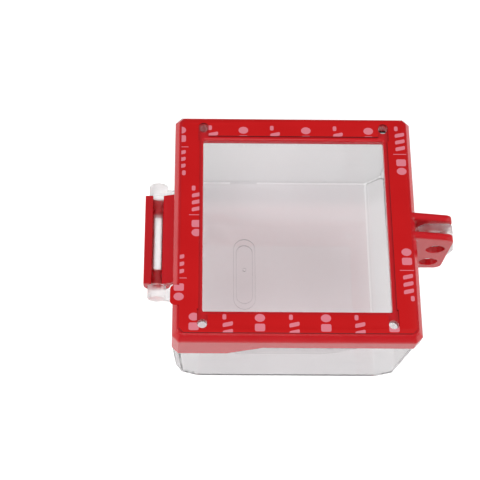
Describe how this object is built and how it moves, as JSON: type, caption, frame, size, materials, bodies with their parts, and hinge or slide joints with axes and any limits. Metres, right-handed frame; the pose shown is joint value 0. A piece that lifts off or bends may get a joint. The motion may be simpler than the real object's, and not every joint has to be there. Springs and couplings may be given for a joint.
{
  "type": "push button protective cover",
  "caption": "Flip-up protective cover for a wall push button: square red frame, clear boxed lid on a side hinge, padlock hasp, adhesive ring.",
  "frame": {"origin": "centre of the lid's front face, under the middle of the frame", "axes": "+X towards the padlock hasp, +Z out of the mounting face towards the wall, +Y along the hinge axis"},
  "size_m": [0.1564, 0.118, 0.0742],
  "materials": {
    "red_plastic": "satin moulded plastic",
    "clear_plastic": "clear polycarbonate",
    "tape_foam": "closed foam",
    "liner_film": "smooth printed film"
  },
  "bodies": {
    "lid": {"clear_lid": "clear_plastic"},
    "frame": {"base_frame": "red_plastic", "foam_tape": "tape_foam", "release_liner": "liner_film"}
  },
  "joints": [
    {"name": "lid_hinge", "type": "hinge", "parent": "lid", "child": "frame", "pos_m": [-0.0675, 0, 0.048], "axis": [0, -1, 0], "range_deg": [0, 140]}
  ]
}
